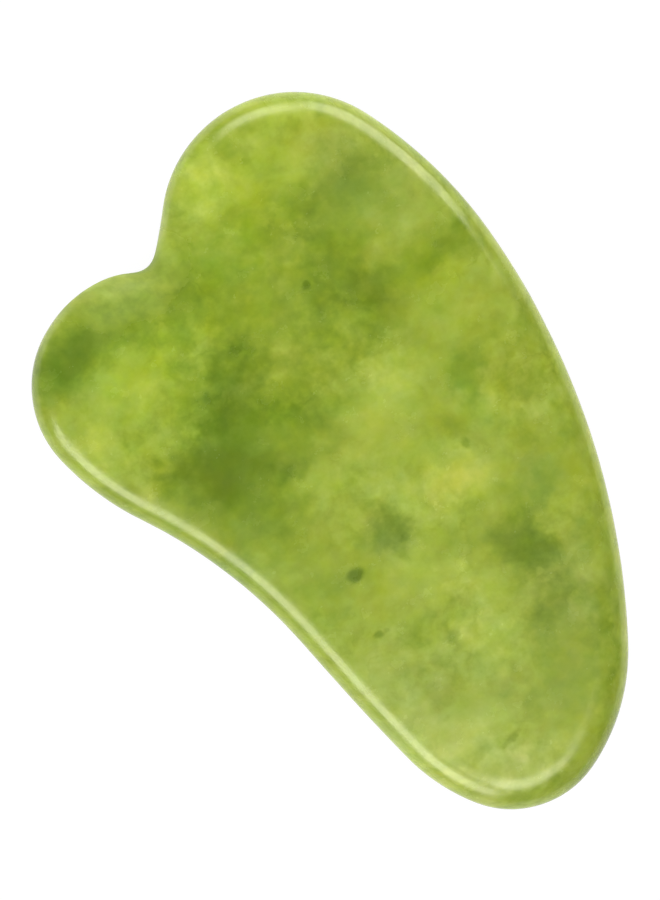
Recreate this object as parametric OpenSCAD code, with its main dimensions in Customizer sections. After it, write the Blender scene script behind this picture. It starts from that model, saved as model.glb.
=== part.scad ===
// Gua sha scraper: one slab of polished jade with a heart-shaped head and a tapering, rounded tip.
//
// The stone lies flat. Z is its thickness and z = 0 the face it rests on. Y is its length, with the
// two lobes of the head at +Y and the tip at -Y. The long convex back faces +X and the hollow belly
// -X. The origin is the centre of the outline's bounding box.
//
// The outline is a closed chain of tangent circular arcs, anticlockwise seen from above. The rim is
// half round, and each of its sectors is a surface of revolution about its own arc's centre.

/* [Overall] */

// Overall length along Y, mm
length = 83; // [72:1:110]
// Thickness along Z, mm; the rim is a half round of this height
thickness = 6; // [4:0.5:6.5]
// Heading of the outline where the tip arc begins, degrees from +X; it leans the whole stone
lean = -45.5; // [-55.5:0.5:-35.5]

/* [Tip] */

// Radius of the tip arc, mm on a stone 83 mm long, as are all the radii below
tip_radius = 10.5; // [9:0.5:13]
// Angle the tip arc turns through, degrees
tip_turn = 77; // [72:0.5:82]
// Radius of the shoulder between the tip and the back, mm
tip_outer_radius = 22.5; // [18:0.5:28]
// Angle that shoulder turns through, degrees
tip_outer_turn = 36.5; // [32:0.5:42]
// Radius of the shoulder between the belly and the tip, mm
tip_inner_radius = 21; // [16:0.5:28]
// Angle that shoulder turns through, degrees
tip_inner_turn = 25; // [21:0.5:29]

/* [Back] */

// Radius of the long back, mm
back_radius = 83; // [72:1:98]
// Angle the long back turns through, degrees
back_turn = 32.5; // [28:0.5:37]
// Radius of the upper back, where it rounds towards the large lobe, mm
upper_back_radius = 47; // [38:0.5:60]
// Angle the upper back turns through, degrees
upper_back_turn = 22.5; // [18:0.5:27]

/* [Large lobe] */

// Radius of the large lobe's crown, mm
crown_radius = 14.3; // [12.5:0.1:16.5]
// Angle the crown turns through, degrees
crown_turn = 115.5; // [111:0.5:120]
// Radius of the slightly hollow run from the crown into the notch, mm
crown_run_radius = 50.5; // [38:0.5:75]
// Angle that hollow run turns back through, degrees
crown_run_turn = 6; // [3:0.5:9]

/* [Notch] */

// Radius of the hollow notch between the lobes, mm
notch_radius = 2.1; // [1.5:0.1:4]
// Angle the notch turns back through, degrees
notch_turn = 76.5; // [70:0.5:83]

/* [Small lobe] */

// Radius of the small lobe beside the notch, mm
lobe_inner_radius = 8.5; // [8:0.5:11]
// Angle it turns through beside the notch, degrees
lobe_inner_turn = 24; // [19:0.5:29]
// Radius over the top of the small lobe, mm
lobe_top_radius = 13.4; // [11:0.1:16]
// Angle it turns through over the top, degrees
lobe_top_turn = 41; // [36:0.5:46]
// Radius round the end of the small lobe, mm
lobe_end_radius = 11.6; // [10:0.1:14]
// Angle it turns through round the end, degrees
lobe_end_turn = 68.5; // [64:0.5:73]
// Radius under the small lobe, where it runs down to the belly, mm
lobe_under_radius = 31; // [24:0.5:40]
// Angle it turns through under the lobe, degrees
lobe_under_turn = 19.5; // [16:0.5:23]

/* [Belly] */

// Radius of the hollow belly, mm
belly_radius = 58; // [48:0.5:75]
// Angle the belly turns back through, degrees
belly_turn = 22.5; // [19:0.5:26]
// Radius of the nearly straight run from the belly to the tip, mm
lower_belly_radius = 300; // [220:10:380]
// Angle that run turns through, degrees
lower_belly_turn = 3; // [2:0.5:4]

/* [Node] */

// Which node to draw

/* [Hidden] */

$fn = 72;

jade = [0.6, 0.68, 0.24];

// Arcs in order from the belly end of the tip: [radius, turn]. Hollow arcs are negative in both.
arcs = [
    [tip_radius, tip_turn],
    [tip_outer_radius, tip_outer_turn],
    [back_radius, back_turn],
    [upper_back_radius, upper_back_turn],
    [crown_radius, crown_turn],
    [-crown_run_radius, -crown_run_turn],
    [-notch_radius, -notch_turn],
    [lobe_inner_radius, lobe_inner_turn],
    [lobe_top_radius, lobe_top_turn],
    [lobe_end_radius, lobe_end_turn],
    [lobe_under_radius, lobe_under_turn],
    [-belly_radius, -belly_turn],
    [lower_belly_radius, lower_belly_turn],
    [tip_inner_radius, tip_inner_turn]
];
nominal_radii = [for (arc = arcs) arc[0]];
nominal_turns = [for (arc = arcs) arc[1]];
last = len(arcs) - 1;

// --- Turns and headings ---

// The outline turns through 360 degrees in all: the bulging arcs share out any excess, in whole
// hundredths of a degree, and the last of them takes the rest.
hollow_total = total([for (turn = nominal_turns) min(turn, 0)]);
bulge_total = total([for (turn = nominal_turns) max(turn, 0)]);
all_but_last = [
    for (i = [0:last - 1])
        let (turn = nominal_turns[i])
            turn < 0 ? turn : round(100 * turn * (360 - hollow_total) / bulge_total) / 100
];
turns = concat(all_but_last, [360 - total(all_but_last)]);

// Heading of the outline at the start of each arc, and at the end of the last.
headings = [
    for (i = 0, heading = lean; i <= last + 1; heading = heading + (i <= last ? turns[i] : 0), i = i + 1)
        heading
];

// --- Closing the outline ---

// Every radius is changed by the small share of itself that brings the end back to the start,
// chosen so that the shares are least in sum of squares. An arc's share is closing * its chord.
nominal_chords = chords(nominal_radii);
gap = total(nominal_chords);
sum_xx = total([for (chord = nominal_chords) chord.x * chord.x]);
sum_xy = total([for (chord = nominal_chords) chord.x * chord.y]);
sum_yy = total([for (chord = nominal_chords) chord.y * chord.y]);
determinant = sum_xx * sum_yy - sum_xy * sum_xy;
closing = -[sum_yy * gap.x - sum_xy * gap.y, sum_xx * gap.y - sum_xy * gap.x] / determinant;
closed_radii = [for (i = [0:last]) nominal_radii[i] * (1 + closing * nominal_chords[i])];
closed_chords = chords(closed_radii);

// Where each arc starts, before the outline is scaled and centred, and the centre it turns about.
starts = [for (i = 0, start = [0, 0]; i <= last; start = start + closed_chords[i], i = i + 1) start];
pivots = [for (i = [0:last]) starts[i] - closed_radii[i] * outward(headings[i])];

// --- Scaling and centring ---

// The outline's extremes lie where it runs along X or Y, at a whole number of quarter turns.
extremes = concat(starts, [
    for (i = [0:last])
        for (quarter = [-3:7])
            if ((90 * quarter - headings[i]) * (90 * quarter - headings[i + 1]) <= 0)
                pivots[i] + closed_radii[i] * outward(90 * quarter)
]);
low = [min([for (point = extremes) point.x]), min([for (point = extremes) point.y])];
high = [max([for (point = extremes) point.x]), max([for (point = extremes) point.y])];
size = length / (high.y - low.y);

radii = size * closed_radii;
centres = [for (pivot = pivots) size * (pivot - (low + high) / 2)];

// --- Rim and core ---

// Behind the half-round rim is a flat margin that the core overlaps. It is at most widest_margin,
// and at most margin_share of the room left on the tightest bulging arc.
widest_margin = 2.5;
margin_share = 0.8;
rim_radius = thickness / 2;
tightest = min([for (radius = radii) if (radius > 0) radius]);
margin = min(widest_margin, margin_share * (tightest - rim_radius));

// Every core corner lies half-way across the margin and clear of the sectors' ends. The limit on
// step angle times the root of the radius keeps the corners so close that no side leaves the margin.
core_step_limit = 60;
core = [
    for (i = [0:last])
        let (
            radius = radii[i] - rim_radius - margin / 2,
            steps = ceil(abs(turns[i]) * sqrt(abs(radius)) / core_step_limit)
        )
            for (j = [0:steps - 1])
                centres[i] + radius * outward(headings[i] + turns[i] * (j + 0.5) / steps)
];

// --- Functions ---

// The outward direction where the outline has this heading.
function outward(heading) = [sin(heading), -cos(heading)];

// The step from start to end of each arc, for a list of signed radii.
function chords(arc_radii) = [
    for (i = [0:last]) arc_radii[i] * (outward(headings[i + 1]) - outward(headings[i]))
];

// The sum of a list of numbers or of vectors.
function total(list) = [for (item = list) 1] * list;

function to_thousandths(value) = round(value * 1000) / 1000;

// --- Modules ---

// Moves by whole thousandths and then the rest, so that neighbouring rim sectors share their ends.
module shift(offset_xy) {
    coarse = [to_thousandths(offset_xy.x), to_thousandths(offset_xy.y)];
    translate(coarse)
        translate([offset_xy.x - coarse.x, offset_xy.y - coarse.y])
            children();
}

// Cross-section of the rim in the (radius, height) plane, its outermost point at x = 0; side is +1
// where the stone lies towards -x and -1 where it lies towards +x.
module rim_section(side) {
    translate([-side * rim_radius, rim_radius])
        circle(r = rim_radius);
    translate([side > 0 ? -rim_radius - margin : rim_radius, 0])
        square([margin, thickness]);
}

// The rim along arc i. A hollow arc is swept from its end back to its start.
module rim_sector(i) {
    bulging = radii[i] > 0;
    shift(centres[i])
        rotate_extrude(angle = abs(turns[i]), start = bulging ? headings[i] - 90 : headings[i + 1] + 90)
            shift([abs(radii[i]), 0])
                rim_section(bulging ? 1 : -1);
}

module stone() {
    color(jade)
        union() {
            linear_extrude(height = thickness)
                polygon(core);
            for (i = [0:last])
                rim_sector(i);
        }
}

stone();
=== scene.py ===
import math

import bpy
import numpy as np
from mathutils import Matrix, Vector, noise
from mathutils.geometry import delaunay_2d_cdt


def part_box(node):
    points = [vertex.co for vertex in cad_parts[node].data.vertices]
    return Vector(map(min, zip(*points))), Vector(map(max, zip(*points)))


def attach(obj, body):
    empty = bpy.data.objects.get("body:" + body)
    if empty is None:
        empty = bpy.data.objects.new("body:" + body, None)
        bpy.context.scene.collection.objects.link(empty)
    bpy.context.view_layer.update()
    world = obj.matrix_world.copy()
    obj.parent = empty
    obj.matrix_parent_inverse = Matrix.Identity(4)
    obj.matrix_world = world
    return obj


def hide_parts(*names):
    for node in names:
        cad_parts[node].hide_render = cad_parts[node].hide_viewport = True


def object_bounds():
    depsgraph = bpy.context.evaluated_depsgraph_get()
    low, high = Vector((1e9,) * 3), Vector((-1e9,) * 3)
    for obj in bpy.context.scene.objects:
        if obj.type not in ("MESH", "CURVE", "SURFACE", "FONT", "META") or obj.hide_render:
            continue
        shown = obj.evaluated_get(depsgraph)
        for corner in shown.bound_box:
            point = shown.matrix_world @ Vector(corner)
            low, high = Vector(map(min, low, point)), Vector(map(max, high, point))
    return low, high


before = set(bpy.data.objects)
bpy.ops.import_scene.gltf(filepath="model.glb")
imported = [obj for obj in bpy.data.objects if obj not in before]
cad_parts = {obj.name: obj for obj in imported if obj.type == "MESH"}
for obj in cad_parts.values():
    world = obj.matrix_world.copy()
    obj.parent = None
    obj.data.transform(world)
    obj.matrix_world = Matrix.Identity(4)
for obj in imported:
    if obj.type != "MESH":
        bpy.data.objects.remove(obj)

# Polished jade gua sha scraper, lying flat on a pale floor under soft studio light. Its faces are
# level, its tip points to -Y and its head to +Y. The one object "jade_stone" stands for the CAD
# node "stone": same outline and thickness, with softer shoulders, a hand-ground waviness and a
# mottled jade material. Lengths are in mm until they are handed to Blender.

MM = 0.001
cad_low, cad_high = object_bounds()
box_low, box_high = (np.array(corner[:3]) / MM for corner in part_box("stone"))
BOX_SIZE = (box_high - box_low)[:2]
BOX_MIDDLE = (box_low + box_high)[:2] / 2
THICKNESS = float(box_high[2] - box_low[2])
FLOOR_Z = float(box_low[2])
CENTRE = Vector(((cad_low + cad_high) / 2)[:])

# ---------------------------------------------------------------- outline

# Tangent arcs, anticlockwise from the inner end of the tip: radius (mm), turn (degrees).
ARCS = (
    (10.5, 77), (22.5, 36.5), (83, 32.5), (47, 22.5), (14.3, 115.5), (-50.5, -6), (-2.1, -76.5),
    (8.5, 24), (13.4, 41), (11.6, 68.5), (31, 19.5), (-58, -22.5), (300, 3), (21, 25),
)
START_HEADING = -45.5  # degrees
ARC_SAMPLES = 400
OUTLINE_STEP = 0.25
EASE_WIDTH = 0.7  # smoothing along the outline where arcs meet


def outward_at(heading):
    """Outward direction where the outline has this heading."""
    return np.stack([np.sin(heading), -np.cos(heading)], -1)


def closed_arcs():
    """Closely spaced points along the arcs, whose radii are adjusted so that the chain closes."""
    radius = np.array([arc[0] for arc in ARCS], float)
    heading = np.radians(START_HEADING + np.r_[0, np.cumsum([arc[1] for arc in ARCS])])
    turn = outward_at(heading[1:]) - outward_at(heading[:-1])
    chord = radius[:, None] * turn
    share = -np.linalg.solve(chord.T @ chord, chord.sum(0))
    radius = radius * (1 + chord @ share)
    chord = radius[:, None] * turn
    start = np.r_[[[0, 0]], np.cumsum(chord, 0)[:-1]]
    points = []
    for i in range(len(radius)):
        sweep = heading[i + 1] - heading[i]
        angle = heading[i] + sweep * np.arange(ARC_SAMPLES) / ARC_SAMPLES
        points.append(start[i] + radius[i] * (outward_at(angle) - outward_at(heading[i])))
    return np.vstack(points)


def fitted(points):
    """The points scaled and moved to fill the CAD node's box in plan."""
    low, high = points.min(0), points.max(0)
    return (points - (low + high) / 2) * (BOX_SIZE / (high - low)) + BOX_MIDDLE


def evenly_spaced(points, step):
    """The closed polyline again, with equal steps along it."""
    loop = np.vstack([points, points[:1]])
    length = np.r_[0, np.cumsum(np.linalg.norm(np.diff(loop, axis=0), axis=1))]
    count = int(round(length[-1] / step))
    stations = np.arange(count) * length[-1] / count
    return np.stack([np.interp(stations, length, loop[:, axis]) for axis in (0, 1)], -1)


def eased(points, width):
    """Gaussian smoothing round the closed loop; width is in samples."""
    offset = np.arange(len(points))
    offset = np.minimum(offset, len(points) - offset)
    kernel = np.exp(-0.5 * (offset / width) ** 2)
    kernel /= kernel.sum()
    spectrum = np.fft.fft(kernel)[:, None]
    return np.real(np.fft.ifft(np.fft.fft(points, axis=0) * spectrum, axis=0))


outline = evenly_spaced(fitted(closed_arcs()), OUTLINE_STEP)
outline = fitted(eased(outline, EASE_WIDTH / OUTLINE_STEP))
COUNT = len(outline)

# ---------------------------------------------------------------- rim

HALF_SEGMENTS = 22
SHOULDER_SOFTNESS = 1.5  # extra radius of curvature next to the face, relative to the rim's
SHOULDER_REACH = 0.30  # tilt (radians) over which it fades
PROFILE_SAMPLES = 4001


def half_profile():
    """From the flat face (tilt 0) to the outermost point (tilt 90 degrees): inset from the
    outline, drop below the face, and tilt."""
    tilt = np.linspace(0, math.pi / 2, PROFILE_SAMPLES)
    radius = 1 + SHOULDER_SOFTNESS * np.exp(-tilt / SHOULDER_REACH)
    step = np.diff(tilt)
    mid_radius, mid_tilt = (radius[1:] + radius[:-1]) / 2, (tilt[1:] + tilt[:-1]) / 2
    drop = np.r_[0, np.cumsum(mid_radius * np.sin(mid_tilt) * step)]
    run = np.r_[0, np.cumsum(mid_radius * np.cos(mid_tilt) * step)]
    length = np.r_[0, np.cumsum(mid_radius * step)]
    scale = (THICKNESS / 2) / drop[-1]
    stations = np.linspace(0, length[-1], HALF_SEGMENTS + 1)
    run_at, drop_at, tilt_at = (np.interp(stations, length, v) for v in (run, drop, tilt))
    return (run[-1] - run_at) * scale, drop_at * scale, tilt_at


def rim_rings():
    """Inset of each ring, and the points and normals of the rings from top face to bottom."""
    inset, drop, tilt = half_profile()
    inset = np.r_[inset, inset[-2::-1]]
    height = np.r_[THICKNESS - drop, drop[-2::-1]]
    tilt = np.r_[tilt, math.pi - tilt[-2::-1]]
    tangent = np.roll(outline, -1, 0) - np.roll(outline, 1, 0)
    tangent /= np.linalg.norm(tangent, axis=1)[:, None]
    outward = np.stack([tangent[:, 1], -tangent[:, 0]], -1)
    points = np.zeros((len(inset), COUNT, 3))
    normals = np.zeros((len(inset), COUNT, 3))
    for j in range(len(inset)):
        points[j, :, :2] = outline - outward * inset[j]
        points[j, :, 2] = FLOOR_Z + height[j]
        normals[j, :, :2] = outward * math.sin(tilt[j])
        normals[j, :, 2] = math.cos(tilt[j])
    return inset, points, normals


# ---------------------------------------------------------------- flat faces

GRID = 0.5
ROW_RATIO = 0.866  # row spacing of a triangular grid
EDGE_CLEARANCE = 0.45  # least distance from grid to edge, in grid steps
CHUNK = 500  # points measured at a time, to save memory


def inside(points, loop):
    """Even-odd test of many points against one closed loop."""
    hit = np.zeros(len(points), bool)
    x, y = points[:, 0], points[:, 1]
    for (x1, y1), (x2, y2) in zip(loop, np.roll(loop, -1, 0)):
        if y1 == y2:
            continue
        crosses = (y1 > y) != (y2 > y)
        hit ^= crosses & (x < (x2 - x1) * (y - y1) / (y2 - y1) + x1)
    return hit


def nearest(points, loop):
    """Distance from each point to the nearest sample of the loop."""
    distance = np.empty(len(points))
    for i in range(0, len(points), CHUNK):
        gap = points[i:i + CHUNK, None] - loop[None]
        distance[i:i + CHUNK] = np.sqrt((gap ** 2).sum(-1).min(-1))
    return distance


def face_grid(edge):
    """Triangular grid of points inside the face's edge."""
    low, high = edge.min(0), edge.max(0)
    rows = []
    for k in range(int((high[1] - low[1]) / (GRID * ROW_RATIO)) + 1):
        xs = np.arange(low[0] + (k % 2) * GRID / 2, high[0], GRID)
        rows.append(np.stack([xs, np.full_like(xs, low[1] + k * GRID * ROW_RATIO)], -1))
    grid = np.vstack(rows)
    grid = grid[inside(grid, edge)]
    return grid[nearest(grid, edge) > EDGE_CLEARANCE * GRID]


def face_triangles(edge, grid):
    """Triangles that face up; indices below COUNT are on the edge, the others in the grid."""
    flat = np.vstack([edge, grid])
    loop = [(i, (i + 1) % COUNT) for i in range(COUNT)]
    _, _, triangles, sources, _, _ = delaunay_2d_cdt([Vector(p) for p in flat], loop, [], 1, 1e-7)
    triangles = [tuple(sources[i][0] for i in t) for t in triangles]

    def turned_up(triangle):
        a, b, c = (flat[i] for i in triangle)
        return (b[0] - a[0]) * (c[1] - a[1]) - (b[1] - a[1]) * (c[0] - a[0]) > 0

    return [t if turned_up(t) else t[::-1] for t in triangles]


# ---------------------------------------------------------------- stone mesh

# Unevenness of a hand-ground stone: height, size, place in the noise.
WAVES = (
    (0.050, 15.0, (3.1, 7.7, 1.9)),
    (0.030, 6.5, (11.3, 2.9, 5.3)),
    (0.010, 2.6, (1.7, 9.1, 4.4)),
)
FACE_WAVE, RIM_EXTRA_WAVE = 0.45, 0.55
RIM_WAVE_END, RIM_WAVE_FADE = 4.5, 3.0  # depth where the extra ends, and how wide it fades
DEPTH_LIMIT = 8.0


def waviness(point, on_rim):
    """Offset along the normal."""
    wave = sum(height * noise.noise(Vector(point) / size + Vector(offset))
               for height, size, offset in WAVES)
    return wave * (FACE_WAVE + RIM_EXTRA_WAVE * on_rim)


def make_stone():
    inset, rim, rim_normals = rim_rings()
    edge = rim[0, :, :2]
    grid = face_grid(edge)
    triangles = face_triangles(edge, grid)

    verts = [rim.reshape(-1, 3)]
    normals = [rim_normals.reshape(-1, 3)]
    faces = []
    for j in range(len(inset) - 1):
        upper, lower = j * COUNT, (j + 1) * COUNT
        for i in range(COUNT):
            after = (i + 1) % COUNT
            faces.append((upper + i, lower + i, lower + after, upper + after))
    total = len(inset) * COUNT
    for z, up, ring in ((FLOOR_Z + THICKNESS, 1, 0), (FLOOR_Z, -1, (len(inset) - 1) * COUNT)):
        verts.append(np.c_[grid, np.full(len(grid), z)])
        normals.append(np.tile([0.0, 0.0, up], (len(grid), 1)))
        for triangle in triangles:
            face = tuple(ring + i if i < COUNT else total + i - COUNT for i in triangle)
            faces.append(face if up > 0 else face[::-1])
        total += len(grid)
    verts, normals = np.vstack(verts), np.vstack(normals)

    # How far in from the outline each vertex lies.
    depth = np.r_[np.repeat(inset, COUNT), np.tile(nearest(grid, outline), 2)]
    on_rim = np.clip((RIM_WAVE_END - depth) / RIM_WAVE_FADE, 0, 1)
    shift = np.array([waviness(p, w) for p, w in zip(verts, on_rim)])
    # The stone stays inside its own thickness: the faces only ever dip.
    shift -= np.abs(normals[:, 2]) ** 4 * shift.max()
    verts = verts + normals * shift[:, None]

    mesh = bpy.data.meshes.new("jade_stone")
    mesh.from_pydata((verts * MM).tolist(), [], faces)
    mesh.validate()
    mesh.update()
    mesh.shade_smooth()
    attribute = mesh.attributes.new("rim_depth", "FLOAT", "POINT")
    attribute.data.foreach_set("value", np.minimum(depth, DEPTH_LIMIT).astype(np.float32))
    stone = bpy.data.objects.new("jade_stone", mesh)
    bpy.context.collection.objects.link(stone)
    return stone


# ---------------------------------------------------------------- shader node helpers


class Nodes:
    """A few short ways to add shader nodes to the tree of a material or world."""

    def __init__(self, owner):
        owner.use_nodes = True
        self.tree = owner.node_tree
        self.tree.nodes.clear()
        self.turned_vectors = {}

    def add(self, kind, **settings):
        node = self.tree.nodes.new(kind)
        for key, value in settings.items():
            setattr(node, key, value)
        return node

    def put(self, socket, value):
        if isinstance(value, bpy.types.NodeSocket):
            self.tree.links.new(value, socket)
        else:
            socket.default_value = value

    def math(self, operation, a, b=0.0, clamp=False):
        node = self.add("ShaderNodeMath", operation=operation, use_clamp=clamp)
        for socket, value in zip(node.inputs, (a, b, 0.0)):
            self.put(socket, value)
        return node.outputs[0]

    def plus(self, a, b):
        return self.math("ADD", a, b)

    def times(self, a, b):
        return self.math("MULTIPLY", a, b)

    def swing(self, pattern, amount, middle=0.5):
        """The pattern's departure from its middle, times amount."""
        return self.times(self.math("SUBTRACT", pattern, middle), amount)

    def ridge(self, pattern):
        """Distance of the pattern from 0.5."""
        return self.math("ABSOLUTE", self.math("SUBTRACT", pattern, 0.5))

    def vector(self, operation, a, b=(0, 0, 0)):
        node = self.add("ShaderNodeVectorMath", operation=operation)
        self.put(node.inputs[0], a)
        self.put(node.inputs[1], b)
        return node.outputs["Value" if operation == "LENGTH" else "Vector"]

    def scaled(self, vector, factor):
        result = self.vector("SCALE", vector)
        self.put(result.node.inputs["Scale"], factor)
        return result

    def fractal(self, vector, size, detail, roughness, offset, distortion=0.0, colour=False):
        """Fractal noise whose coarsest features are about size mm, 0 to 1 with mean 0.5."""
        node = self.add("ShaderNodeTexNoise", noise_dimensions="3D", normalize=True)
        self.put(node.inputs["Vector"], self.vector("ADD", vector, offset))
        self.put(node.inputs["Scale"], 1.0 / size)
        self.put(node.inputs["Detail"], detail)
        self.put(node.inputs["Roughness"], roughness)
        self.put(node.inputs["Distortion"], distortion)
        return node.outputs["Color" if colour else "Fac"]

    def centred(self, vector, **settings):
        """Fractal noise as a vector with mean zero."""
        return self.vector("SUBTRACT", self.fractal(vector, colour=True, **settings),
                           (0.5, 0.5, 0.5))

    def grains(self, vector, size):
        """Three patterns of rounded grains about size mm across, each 0 to 1 with mean 0.5."""
        split = self.add("ShaderNodeSeparateColor")
        self.put(split.inputs[0], self.fractal(vector, size, detail=0.6, roughness=0.5,
                                               offset=(size * 7, 0, 0), colour=True))
        return split.outputs

    def ramp(self, value, low, high, to_low=0.0, to_high=1.0, kind="SMOOTHSTEP"):
        node = self.add("ShaderNodeMapRange", interpolation_type=kind, clamp=True)
        for socket, setting in zip(node.inputs, (value, low, high, to_low, to_high)):
            self.put(socket, setting)
        return node.outputs["Result"]

    def turned(self, vector, angle):
        """The vector turned about Z, made once for each angle and then shared."""
        key = (vector.node.name, angle)
        if key not in self.turned_vectors:
            node = self.add("ShaderNodeVectorRotate", rotation_type="Z_AXIS")
            self.put(node.inputs["Vector"], vector)
            self.put(node.inputs["Angle"], -math.radians(angle))
            self.turned_vectors[key] = node.outputs[0]
        return self.turned_vectors[key]

    def patch(self, vector, x, y, long, wide, angle, amount, core=0.0):
        """A soft oval: amount out to core (a share of its radius), nothing at its edge."""
        turn = math.radians(angle)
        along = x * math.cos(turn) + y * math.sin(turn)
        aside = y * math.cos(turn) - x * math.sin(turn)
        node = self.add("ShaderNodeVectorMath", operation="MULTIPLY_ADD")
        self.put(node.inputs[0], self.turned(vector, angle) if angle else vector)
        self.put(node.inputs[1], (1 / long, 1 / wide, 0))
        self.put(node.inputs[2], (-along / long, -aside / wide, 0))
        reach = self.vector("LENGTH", node.outputs[0])
        return self.ramp(reach, core, 1.0, amount, 0.0, "SMOOTHERSTEP")

    def patches(self, total, vector, table, core=0.0):
        """The total with every patch of the table added."""
        for row in table:
            total = self.plus(total, self.patch(vector, *row, core))
        return total


# ---------------------------------------------------------------- jade

# Patch tables: x, y, radius along, radius across (mm), angle (degrees), amount.

# Brightness is the 8-bit luminance of the stone under even white light.
BASE_TONE = 152.0
DARK_CLOUDS = (
    (-12.5, 7.0, 9.2, 6.4, 15, -45), (-7.5, 13.0, 6.3, 9.0, -45, -34),
    (-9.0, 3.0, 6.5, 6.0, 15, -26), (-3.5, 7.5, 8.5, 6.5, 15, -26),
    (-5.0, 3.5, 5.0, 4.0, 0, -8), (-3.5, 16.0, 4.5, 5.0, -30, -8),
    (-21.0, 23.8, 8.0, 5.2, 15, -42), (-10.0, 25.5, 11.0, 5.5, 0, -20),
    (9.0, 17.5, 8.5, 9.5, 0, -31), (16.0, 15.5, 7.0, 4.0, 15, -6),
    (11.5, 26.5, 10.0, 10.0, -15, -18), (-1.0, 21.0, 12.0, 12.0, 0, -10),
    (15.5, 30.5, 6.0, 5.5, -30, -9), (-6.0, -10.5, 5.0, 5.5, 0, -6),
    (8.0, 23.5, 5.0, 4.0, 0, -8), (2.0, 27.0, 7.0, 5.5, 0, -15),
    (19.5, 18.5, 9.0, 3.8, 15, -23), (16.5, 4.0, 3.0, 6.0, -15, -22),
    (13.8, -1.0, 2.4, 4.0, 15, -14), (-12.0, -1.5, 5.0, 7.0, -15, -12),
    (-7.5, -2.0, 4.5, 4.5, 0, -12), (15.6, -14.2, 5.6, 5.2, -30, -33),
    (18.5, -10.5, 3.8, 3.2, 15, -10), (16.5, -23.0, 8.5, 12.5, -15, -10),
    (20.0, -25.0, 3.5, 9.0, -30, -9), (13.0, -29.5, 7.0, 6.5, 30, -8),
    (12.0, -23.0, 4.0, 5.5, 0, -7), (2.2, -7.6, 4.6, 4.0, 0, -26),
    (-3.0, -10.0, 3.6, 3.4, 0, -10), (24.0, 0.5, 3.0, 3.5, 0, -4),
)
PALE_CLOUDS = (
    (0.8, 35.0, 5.5, 5.2, 30, 20), (6.5, 38.0, 8.0, 3.5, 0, 3),
    (-16.5, 19.0, 7.0, 6.0, -30, 15), (-22.0, 13.0, 6.0, 7.0, -15, 19),
    (8.5, 7.0, 8.0, 5.6, 30, 18), (1.5, 1.0, 7.5, 5.0, 30, 12),
    (-3.0, 0.0, 5.0, 4.0, 15, 8), (10.5, -6.2, 8.0, 5.0, 0, 26),
    (10.5, -3.2, 5.2, 2.6, 10, 14), (13.5, -4.5, 2.6, 2.6, 0, 7),
    (3.0, -3.5, 6.0, 4.0, 0, 14), (5.5, -14.0, 7.5, 5.0, 0, 12),
    (-4.0, -20.0, 6.5, 9.0, 15, 8), (-3.5, -27.5, 5.0, 7.0, 0, 8),
    (5.5, -27.5, 5.0, 4.0, 0, 7), (17.0, -20.0, 3.5, 3.5, 0, 6),
    (9.0, -20.5, 5.5, 9.0, 15, 17), (5.5, 28.5, 2.5, 2.5, 15, 7),
    (1.0, -32.0, 9.5, 10.0, -15, 14), (6.0, -37.0, 9.5, 4.5, 0, 16),
    (22.0, 9.0, 6.0, 6.0, 0, 3),
)
# Small dark mineral specks.
SPECKS = (
    (-2.7, -10.2, 1.6, 1.35, 30, -48), (-3.2, -17.3, 1.0, 0.75, 0, -30),
    (-2.2, -17.0, 0.6, 0.45, 0, -14), (5.3, 20.5, 0.85, 0.7, 0, -30),
    (3.7, -8.8, 0.9, 0.8, 0, -20), (-4.4, 17.3, 1.0, 0.7, 0, -18),
    (14.2, -2.4, 0.8, 1.1, 0, -22), (5.2, -33.4, 2.4, 0.6, 30, -16),
    (0.0, -28.5, 0.9, 0.4, 30, -8), (20.5, 18.6, 1.2, 0.7, 15, -10),
)
# Painted light: extra brightness painted into the colour near the thin rim, by region, in place of
# light let through the rim; most on the back edge, less on the left.
BASE_PAINTED_RIM_LIGHT = 4.0
PAINTED_RIM_LIGHT = (
    (24.0, -10.0, 16.0, 38.0, 0, 22.0), (-17.0, 0.0, 12.0, 14.0, 0, -9.0),
    (15.0, 38.0, 22.0, 18.0, 0, 7.0), (-16.0, 30.0, 12.0, 8.0, 0, 10.0),
)
# Milkiness: how much blue is left in the green. The tip half is milkier than the head.
BASE_MILK = 0.95
MILK = (
    (4.0, -26.0, 18.0, 14.0, 0, 0.20), (-2.5, -25.0, 9.0, 11.0, 0, 0.30),
    (4.0, -36.5, 10.0, 6.0, 0, 0.55), (17.0, -20.0, 8.0, 9.0, 0, 0.50),
    (2.0, -7.8, 5.0, 4.4, 0, 0.60), (19.5, -8.5, 3.6, 3.6, 0, 0.30),
    (-12.5, -3.0, 5.0, 7.0, 0, 0.25), (3.0, 0.5, 6.0, 4.5, 0, 0.20),
    (-21.5, 24.0, 8.0, 5.0, 15, 0.24), (15.5, 30.0, 10.0, 10.0, -30, 0.50),
    (19.0, 23.5, 7.0, 5.0, 0, 0.25), (4.5, -4.0, 4.0, 3.5, 0, 0.25),
    (17.0, 15.5, 8.0, 5.0, 0, -0.28), (-14.0, 18.5, 9.0, 8.0, 0, -0.26),
    (-2.5, 9.0, 8.0, 6.0, 0, -0.26), (-3.0, 22.0, 11.0, 10.0, 0, -0.20),
    (3.5, 31.5, 6.5, 9.0, 0, -0.30), (11.0, -6.0, 6.0, 4.0, 0, -0.06),
)
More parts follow.
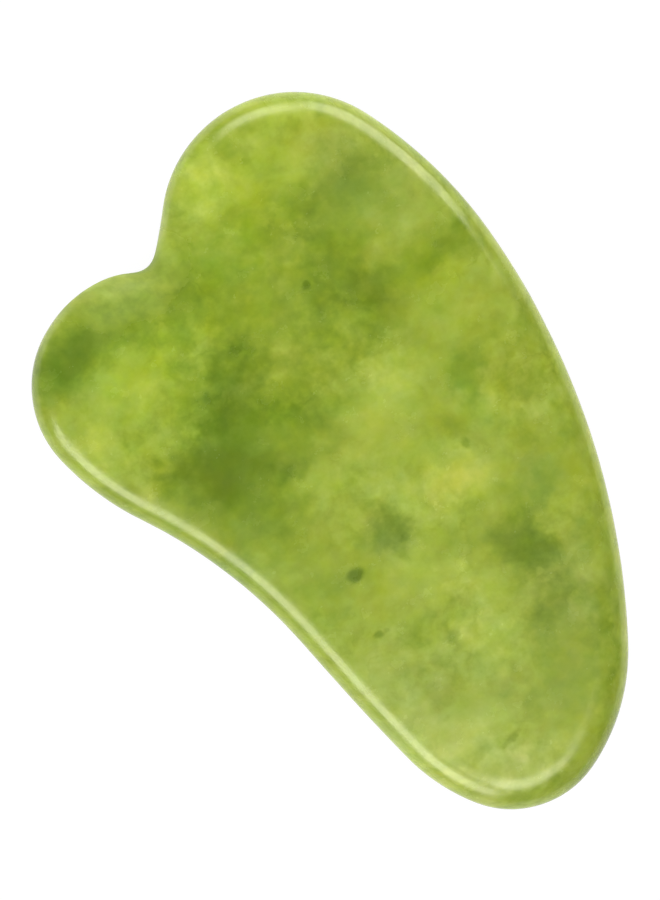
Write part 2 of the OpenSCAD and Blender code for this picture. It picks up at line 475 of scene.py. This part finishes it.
# Warmth: how far the green leans towards yellow, or, where negative, towards emerald.
BASE_WARMTH = 1.01
WARMTH = (
    (11.0, -5.6, 5.5, 3.2, 15, 0.080), (14.0, 34.0, 10.0, 6.5, -30, 0.060),
    (21.0, 27.0, 6.0, 8.0, 0, 0.050), (3.0, -37.0, 9.0, 4.5, 0, 0.045),
    (17.0, -21.0, 6.5, 9.0, 0, 0.045), (-12.0, 22.5, 13.0, 9.0, 0, -0.060),
    (-20.0, 19.0, 8.0, 8.0, 0, -0.040), (-9.0, 11.0, 9.0, 7.0, 0, -0.045),
    (-8.0, -11.0, 6.0, 8.0, 0, -0.065), (16.0, 2.5, 3.0, 6.0, -15, -0.060),
    (19.5, -8.5, 3.2, 3.4, 0, -0.060), (-22.0, 23.0, 5.0, 4.0, 15, -0.050),
    (0.0, 27.0, 6.0, 6.0, 0, -0.060), (-10.0, 15.5, 9.0, 6.0, 0, -0.060),
    (-4.0, 7.5, 6.0, 5.0, 0, -0.050), (-11.0, -3.0, 5.0, 6.0, 0, -0.040),
    (12.0, 16.0, 5.0, 5.0, 0, 0.050), (22.0, 3.0, 8.0, 24.0, 0, 0.040),
)
# The notch is hard to polish, so the stone is rougher beside it.
NOTCH_DULLNESS = (-12.5, 29.5, 9.5, 6.5, 0, 0.32)

# Brightness, and its 8-bit sRGB colour.
COLOURS = (
    (100, (97, 121, 26)), (109, (103, 127, 29)), (114, (108, 132, 33)), (124, (119, 142, 39)),
    (139, (136, 157, 49)), (148, (146, 165, 57)), (155, (154, 173, 64)), (162, (161, 179, 70)),
    (171, (171, 188, 79)), (179, (180, 195, 86)), (190, (191, 205, 99)), (200, (203, 215, 118)),
)
DARKEST, TONE_RANGE = 100.0, 100.0

SLANT = (0.55, -0.40)  # drift of the clouds in x and y per mm of depth


def linear(srgb):
    """8-bit sRGB to linear RGBA."""
    return tuple((v / 255 / 12.92) if v <= 10.3 else ((v / 255 + 0.055) / 1.055) ** 2.4
                 for v in srgb) + (1.0,)


def slanted_place(nodes):
    """Place in mm, slanted so that the underside is like the face but not the same."""
    place = nodes.scaled(nodes.add("ShaderNodeTexCoord").outputs["Object"], 1.0 / MM)
    split = nodes.add("ShaderNodeSeparateXYZ")
    nodes.put(split.inputs[0], place)
    below = nodes.math("SUBTRACT", FLOOR_Z + THICKNESS, split.outputs["Z"])
    slant = nodes.add("ShaderNodeCombineXYZ")
    for axis in (0, 1):
        nodes.put(slant.inputs[axis], nodes.times(below, SLANT[axis]))
    return nodes.vector("ADD", place, slant.outputs[0])


def mottling(nodes, placed, frayed, large_grains, small_grains):
    """Curds with darker creases, a mosaic of grains and a fine bloom, busier in some regions."""
    curds = nodes.ridge(nodes.fractal(frayed, size=3.6, detail=3.0, roughness=0.60,
                                      offset=(6, 1, 8)))
    bloom = nodes.fractal(placed, size=0.8, detail=3.0, roughness=0.62, offset=(4, 4, 4))
    detail = nodes.swing(curds, 62.0, middle=0.10)
    for pattern, amount in ((large_grains[0], 22.0), (small_grains[0], 16.0), (bloom, 15.0)):
        detail = nodes.plus(detail, nodes.swing(pattern, amount))
    regions = nodes.fractal(placed, size=13.0, detail=1.0, roughness=0.5, offset=(3, 5, 8))
    return nodes.times(detail, nodes.ramp(regions, low=0.38, high=0.62, to_low=0.55, to_high=1.25))


def threads(nodes, placed, warped):
    """Soft threads where a noise crosses its middle, and only in some places."""
    line = nodes.ridge(nodes.fractal(warped, size=7.0, detail=3.0, roughness=0.55,
                                     offset=(1, 6, 3), distortion=0.4))
    line = nodes.ramp(line, low=0.0, high=0.07, to_low=1.0, to_high=0.0)
    regions = nodes.fractal(placed, size=9.0, detail=1.0, roughness=0.5, offset=(8, 2, 7))
    return nodes.times(nodes.times(line, nodes.ramp(regions, low=0.47, high=0.60)), 7.0)


def painted_rim_light(nodes, placed):
    """Painted light: the colour is made lighter near the rim, where the thin stone lets a little
    more light through.
    """
    depth = nodes.add("ShaderNodeAttribute", attribute_name="rim_depth",
                      attribute_type="GEOMETRY").outputs["Fac"]
    wobble = nodes.swing(nodes.fractal(placed, size=5.0, detail=2.0, roughness=0.5,
                                       offset=(6, 5, 1)), 1.0)
    painted_rim_fade = nodes.ramp(nodes.plus(depth, wobble), low=0.1, high=1.5, to_low=1.0, to_high=0.0)
    return nodes.times(painted_rim_fade, nodes.patches(BASE_PAINTED_RIM_LIGHT, placed, PAINTED_RIM_LIGHT, core=0.5))


def tint(nodes, base, warped, table, layers):
    """Base plus the table's patches, plus (pattern, amount) layers."""
    total = nodes.patches(base, warped, table)
    for pattern, amount in layers:
        total = nodes.plus(total, nodes.swing(pattern, amount))
    return total


def jade_colour(nodes, placed):
    # Two sizes of warp break up the outlines of the patches.
    broad = nodes.centred(placed, size=9.0, detail=2.0, roughness=0.5, offset=(5, 1, 9))
    fine = nodes.centred(placed, size=3.0, detail=4.0, roughness=0.60, offset=(2, 8, 4))
    eddied = nodes.vector("ADD", placed, nodes.scaled(broad, 4.5))
    warped = nodes.vector("ADD", eddied, nodes.scaled(fine, 5.5))
    frayed = nodes.vector("ADD", placed, nodes.scaled(fine, 1.3))
    large_grains = nodes.grains(frayed, size=2.6)
    small_grains = nodes.grains(frayed, size=1.2)

    tone = nodes.patches(BASE_TONE, warped, DARK_CLOUDS + PALE_CLOUDS)
    drift = nodes.fractal(eddied, size=7.5, detail=5.0, roughness=0.64, offset=(9, 3, 2))
    tone = nodes.plus(tone, nodes.swing(drift, 60.0))
    tone = nodes.plus(tone, mottling(nodes, placed, frayed, large_grains, small_grains))
    tone = nodes.math("SUBTRACT", tone, threads(nodes, placed, warped))
    # The specks are only lightly warped, so that they stay compact.
    speck_place = nodes.vector("ADD", placed, nodes.scaled(fine, 1.6))
    tone = nodes.patches(tone, speck_place, SPECKS, core=0.15)
    # Painted rim light is added to the tone here.
    tone = nodes.plus(tone, painted_rim_light(nodes, placed))

    shade = nodes.add("ShaderNodeValToRGB")
    shade.color_ramp.interpolation = "LINEAR"
    stops = shade.color_ramp.elements
    stops.remove(stops[-1])
    for i, (level, srgb) in enumerate(COLOURS):
        position = (level - DARKEST) / TONE_RANGE
        stop = stops.new(position) if i else stops[0]
        stop.color = linear(srgb)
    nodes.put(shade.inputs["Fac"], nodes.math(
        "DIVIDE", nodes.math("SUBTRACT", tone, DARKEST), TONE_RANGE, clamp=True))

    curdling = nodes.fractal(eddied, size=4.5, detail=5.0, roughness=0.65, offset=(7, 7, 2))
    milk = tint(nodes, BASE_MILK, warped, MILK,
                ((curdling, 0.9), (large_grains[1], 0.46), (small_grains[1], 0.44)))
    blush = nodes.fractal(eddied, size=4.6, detail=4.0, roughness=0.66, offset=(3, 9, 9))
    warmth = tint(nodes, BASE_WARMTH, warped, WARMTH,
                  ((blush, 0.27), (large_grains[2], 0.09), (small_grains[2], 0.07)))
    parts = nodes.add("ShaderNodeSeparateColor")
    nodes.put(parts.inputs[0], shade.outputs["Color"])
    whole = nodes.add("ShaderNodeCombineColor")
    nodes.put(whole.inputs[0], nodes.times(parts.outputs[0], warmth))
    nodes.put(whole.inputs[1], parts.outputs[1])
    nodes.put(whole.inputs[2], nodes.times(parts.outputs[2], milk))
    return whole.outputs[0]


def jade_roughness(nodes, placed):
    wear = nodes.fractal(placed, size=3.0, detail=5.0, roughness=0.6, offset=(2, 2, 6))
    polish = nodes.ramp(wear, low=0.3, high=0.7, to_low=0.17, to_high=0.30, kind="LINEAR")
    return nodes.plus(polish, nodes.patch(placed, *NOTCH_DULLNESS, core=0.35))


def jade_relief(nodes, placed):
    """Polishing haze and pinprick pits."""
    haze = nodes.fractal(placed, size=0.9, detail=3.0, roughness=0.55, offset=(1, 1, 1))
    cells = nodes.add("ShaderNodeTexVoronoi", voronoi_dimensions="3D", feature="F1")
    nodes.put(cells.inputs["Vector"], placed)
    nodes.put(cells.inputs["Scale"], 1 / 2.2)
    pits = nodes.ramp(cells.outputs["Distance"], low=0.03, high=0.09, to_low=-1.0, to_high=0.0)
    bump = nodes.add("ShaderNodeBump")
    nodes.put(bump.inputs["Strength"], 0.35)
    nodes.put(bump.inputs["Distance"], 0.02 * MM)
    nodes.put(bump.inputs["Height"], nodes.plus(nodes.times(haze, 0.35), nodes.times(pits, 0.12)))
    return bump.outputs[0]


def jade_material():
    material = bpy.data.materials.new("jade")
    nodes = Nodes(material)
    placed = slanted_place(nodes)
    shader = nodes.add("ShaderNodeBsdfPrincipled")
    for socket, value in (
        ("Base Color", jade_colour(nodes, placed)),
        ("IOR", 1.62),
        ("Roughness", jade_roughness(nodes, placed)),
        ("Specular Tint", (1.0, 1.0, 0.72, 1.0)),
        ("Subsurface Weight", 0.30),
        ("Subsurface Radius", (1.0, 1.0, 0.35)),
        ("Subsurface Scale", 1.4 * MM),
        ("Normal", jade_relief(nodes, placed)),
    ):
        nodes.put(shader.inputs[socket], value)
    output = nodes.add("ShaderNodeOutputMaterial")
    nodes.put(output.inputs["Surface"], shader.outputs[0])
    return material


# ---------------------------------------------------------------- floor

FLOOR_RADIUS = 2.5  # metres
FLOOR_GAP = 0.02


def floor_material():
    """Diffuse to the light, but almost evenly white to the camera and in reflections."""
    material = bpy.data.materials.new("pale_floor")
    nodes = Nodes(material)
    plain = nodes.add("ShaderNodeBsdfDiffuse")
    nodes.put(plain.inputs["Color"], (0.86, 0.86, 0.86, 1))
    lit = nodes.add("ShaderNodeEmission")
    nodes.put(lit.inputs["Color"], (1, 1, 1, 1))
    nodes.put(lit.inputs["Strength"], 1.04)
    rays = nodes.add("ShaderNodeLightPath").outputs
    seen = nodes.math("MAXIMUM", rays["Is Camera Ray"], rays["Is Glossy Ray"])
    both = nodes.add("ShaderNodeMixShader")
    nodes.put(both.inputs[0], nodes.times(seen, 0.93))
    nodes.put(both.inputs[1], plain.outputs[0])
    nodes.put(both.inputs[2], lit.outputs[0])
    output = nodes.add("ShaderNodeOutputMaterial")
    nodes.put(output.inputs["Surface"], both.outputs[0])
    return material


def make_floor():
    material = floor_material()
    bpy.ops.mesh.primitive_circle_add(vertices=128, radius=FLOOR_RADIUS, fill_type="NGON",
                                      location=(0, 0, (FLOOR_Z - FLOOR_GAP) * MM))
    floor = bpy.context.object
    floor.name = "floor"
    floor.data.materials.append(material)
    return floor


# ---------------------------------------------------------------- light

# Name, azimuth (from +X towards +Y), polar angle (from +Z), radiance, half-angles covered
# across (azimuth) and along (polar), distance (metres), roll about its own axis. In degrees.
SOFTBOXES = (
    ("belly_light", 207.5, 53, 5.2, 23.5, 13.5, 1.0, 0),
    ("belly_fill", 212, 55, 0.7, 26, 26, 1.0, 0),
    ("tip_light", 260.5, 23.5, 6.0, 12.5, 9.5, 1.0, 38),
    ("crown_light", 40, 63, 5.1, 20, 18, 1.0, 0),
    ("lobe_light", 83, 62, 4.9, 11, 10, 0.11, 0),
)


def place(item, position, axes):
    """Sets an object's position and its local x, y and z axes, and links it."""
    turn = Matrix(axes).transposed().to_4x4()
    item.matrix_world = Matrix.Translation(position) @ turn
    bpy.context.collection.objects.link(item)


def softbox(name, azimuth, polar, radiance, across, along, distance, roll):
    """A rectangular light aimed at the stone."""
    azimuth, polar = math.radians(azimuth), math.radians(polar)
    way = Vector((math.sin(polar) * math.cos(azimuth), math.sin(polar) * math.sin(azimuth),
                  math.cos(polar)))
    level = Vector((-math.sin(azimuth), math.cos(azimuth), 0))
    side = Matrix.Rotation(math.radians(roll), 3, way) @ level
    lamp = bpy.data.lights.new(name, "AREA")
    lamp.shape = "RECTANGLE"
    width = 2 * distance * math.tan(math.radians(across))
    height = 2 * distance * math.tan(math.radians(along))
    lamp.size, lamp.size_y = width, height
    lamp.energy = radiance * math.pi * width * height
    box = bpy.data.objects.new(name, lamp)
    box.visible_camera = False
    place(box, CENTRE + way * distance, (side, way.cross(side), way))


def make_world():
    """Dim and darkest overhead, so that the flat face keeps its colour; the camera sees white."""
    world = bpy.data.worlds.new("studio")
    bpy.context.scene.world = world
    nodes = Nodes(world)
    sky = nodes.add("ShaderNodeBackground")
    nodes.put(sky.inputs["Color"], (1, 1, 1, 1))
    split = nodes.add("ShaderNodeSeparateXYZ")
    nodes.put(split.inputs[0], nodes.add("ShaderNodeTexCoord").outputs["Generated"])
    strength = nodes.ramp(split.outputs["Z"], low=0.0, high=1.0, to_low=0.14, to_high=0.01,
                          kind="LINEAR")
    lightest = nodes.add("ShaderNodeMath", operation="MAXIMUM")
    rays = nodes.add("ShaderNodeLightPath").outputs
    nodes.put(lightest.inputs[0], rays["Is Camera Ray"])
    nodes.put(lightest.inputs[1], strength)
    nodes.put(sky.inputs["Strength"], lightest.outputs[0])
    output = nodes.add("ShaderNodeOutputWorld")
    nodes.put(output.inputs["Surface"], sky.outputs[0])


# ---------------------------------------------------------------- camera

# Straight down, with the stone's tip to the lower right.
FIELD = 97.82  # covered by the long side of the frame
AIM = (0.319, 3.198)  # x and y from the stone's centre
ROLL = math.radians(24.5)
LENS, SENSOR = 200.0, 36.0


def make_camera():
    lens = bpy.data.cameras.new("camera")
    lens.sensor_width = SENSOR
    lens.lens = LENS
    lens.clip_start, lens.clip_end = 0.01, 20.0
    camera = bpy.data.objects.new("camera", lens)
    rise = FIELD * MM / SENSOR * LENS
    right = Vector((math.cos(ROLL), -math.sin(ROLL), 0))
    up = Vector((math.sin(ROLL), math.cos(ROLL), 0))
    place(camera, CENTRE + Vector((AIM[0] * MM, AIM[1] * MM, rise)), (right, up, (0, 0, 1)))
    bpy.context.scene.camera = camera


# ---------------------------------------------------------------- scene

stone = make_stone()
stone.data.materials.append(jade_material())
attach(stone, "root")
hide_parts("stone")
make_floor()
for row in SOFTBOXES:
    softbox(*row)
make_world()
bpy.context.scene.view_settings.view_transform = "Standard"
bpy.context.scene.view_settings.look = "None"
make_camera()

bpy.context.view_layer.update()
